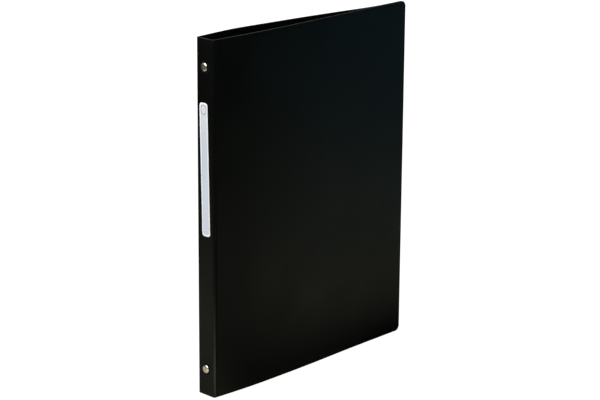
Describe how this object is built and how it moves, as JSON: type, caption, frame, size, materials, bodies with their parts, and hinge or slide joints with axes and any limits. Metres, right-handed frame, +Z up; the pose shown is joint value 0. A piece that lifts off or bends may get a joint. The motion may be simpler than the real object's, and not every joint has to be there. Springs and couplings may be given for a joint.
{
  "type": "ring binder",
  "caption": "Slim A4 plastic ring binder standing shut, with creased spine hinges, a riveted ring mechanism with end levers, and a narrow label on the spine.",
  "frame": {"origin": "centre of the bounding box's bottom face, on the surface that the shut binder stands on", "axes": "+Z up along the spine, +X from the spine to the fore-edge, +Y from the front cover to the back cover"},
  "size_m": [0.2396, 0.0244, 0.307],
  "materials": {
    "sheet": "fine-grained black polypropylene sheet with a low sheen",
    "nickel_steel": "nickel plated steel",
    "zinc_steel": "zinc plated steel",
    "label": "coated white paper label"
  },
  "bodies": {
    "spine_body": {"spine": "sheet", "front_hinge_web": "sheet", "back_hinge_web": "sheet", "mechanism_housing": "nickel_steel", "bottom_lever_pin": "zinc_steel", "top_lever_pin": "zinc_steel", "bottom_rivet": "nickel_steel", "top_rivet": "nickel_steel", "bottom_rivet_post": "zinc_steel", "top_rivet_post": "zinc_steel", "spine_label": "label"},
    "front_cover": {"front_cover": "sheet"},
    "back_cover": {"back_cover": "sheet"},
    "front_rail": {"front_carrier_rail": "zinc_steel", "ring_1_front_half": "nickel_steel", "ring_2_front_half": "nickel_steel", "ring_3_front_half": "nickel_steel", "ring_4_front_half": "nickel_steel"},
    "back_rail": {"back_carrier_rail": "zinc_steel", "ring_1_back_half": "nickel_steel", "ring_2_back_half": "nickel_steel", "ring_3_back_half": "nickel_steel", "ring_4_back_half": "nickel_steel"},
    "bottom_lever": {"bottom_lever": "nickel_steel"},
    "top_lever": {"top_lever": "nickel_steel"}
  },
  "joints": [
    {"name": "front_cover_hinge", "type": "hinge", "parent": "spine_body", "child": "front_cover", "pos_m": [-0.1156, -0.01115, 0.1535], "axis": [0, 0, -1], "range_deg": [0, 179], "deforming": ["front_hinge_web"]},
    {"name": "back_cover_hinge", "type": "hinge", "parent": "spine_body", "child": "back_cover", "pos_m": [-0.1156, 0.00915, 0.1535], "axis": [0, 0, 1], "range_deg": [0, 179], "deforming": ["back_hinge_web"]},
    {"name": "front_rail_pivot", "type": "hinge", "parent": "spine_body", "child": "front_rail", "pos_m": [-0.1152, -0.0071, 0.1535], "axis": [0, 0, -1], "range_deg": [0, 13]},
    {"name": "back_rail_pivot", "type": "hinge", "parent": "spine_body", "child": "back_rail", "pos_m": [-0.1152, 0.0051, 0.1535], "axis": [0, 0, 1], "range_deg": [0, 13]},
    {"name": "top_lever_pivot", "type": "hinge", "parent": "spine_body", "child": "top_lever", "pos_m": [-0.1152, -0.001, 0.2898], "axis": [0, -1, 0], "range_deg": [0, 27]},
    {"name": "bottom_lever_pivot", "type": "hinge", "parent": "spine_body", "child": "bottom_lever", "pos_m": [-0.1152, -0.001, 0.0172], "axis": [0, 1, 0], "range_deg": [0, 27]}
  ],
  "couplings": [
    {"joint": "back_rail_pivot", "follows": "front_rail_pivot", "ratio": 1},
    {"joint": "top_lever_pivot", "follows": "front_rail_pivot", "ratio": 2.0769},
    {"joint": "bottom_lever_pivot", "follows": "front_rail_pivot", "ratio": 2.0769}
  ]
}
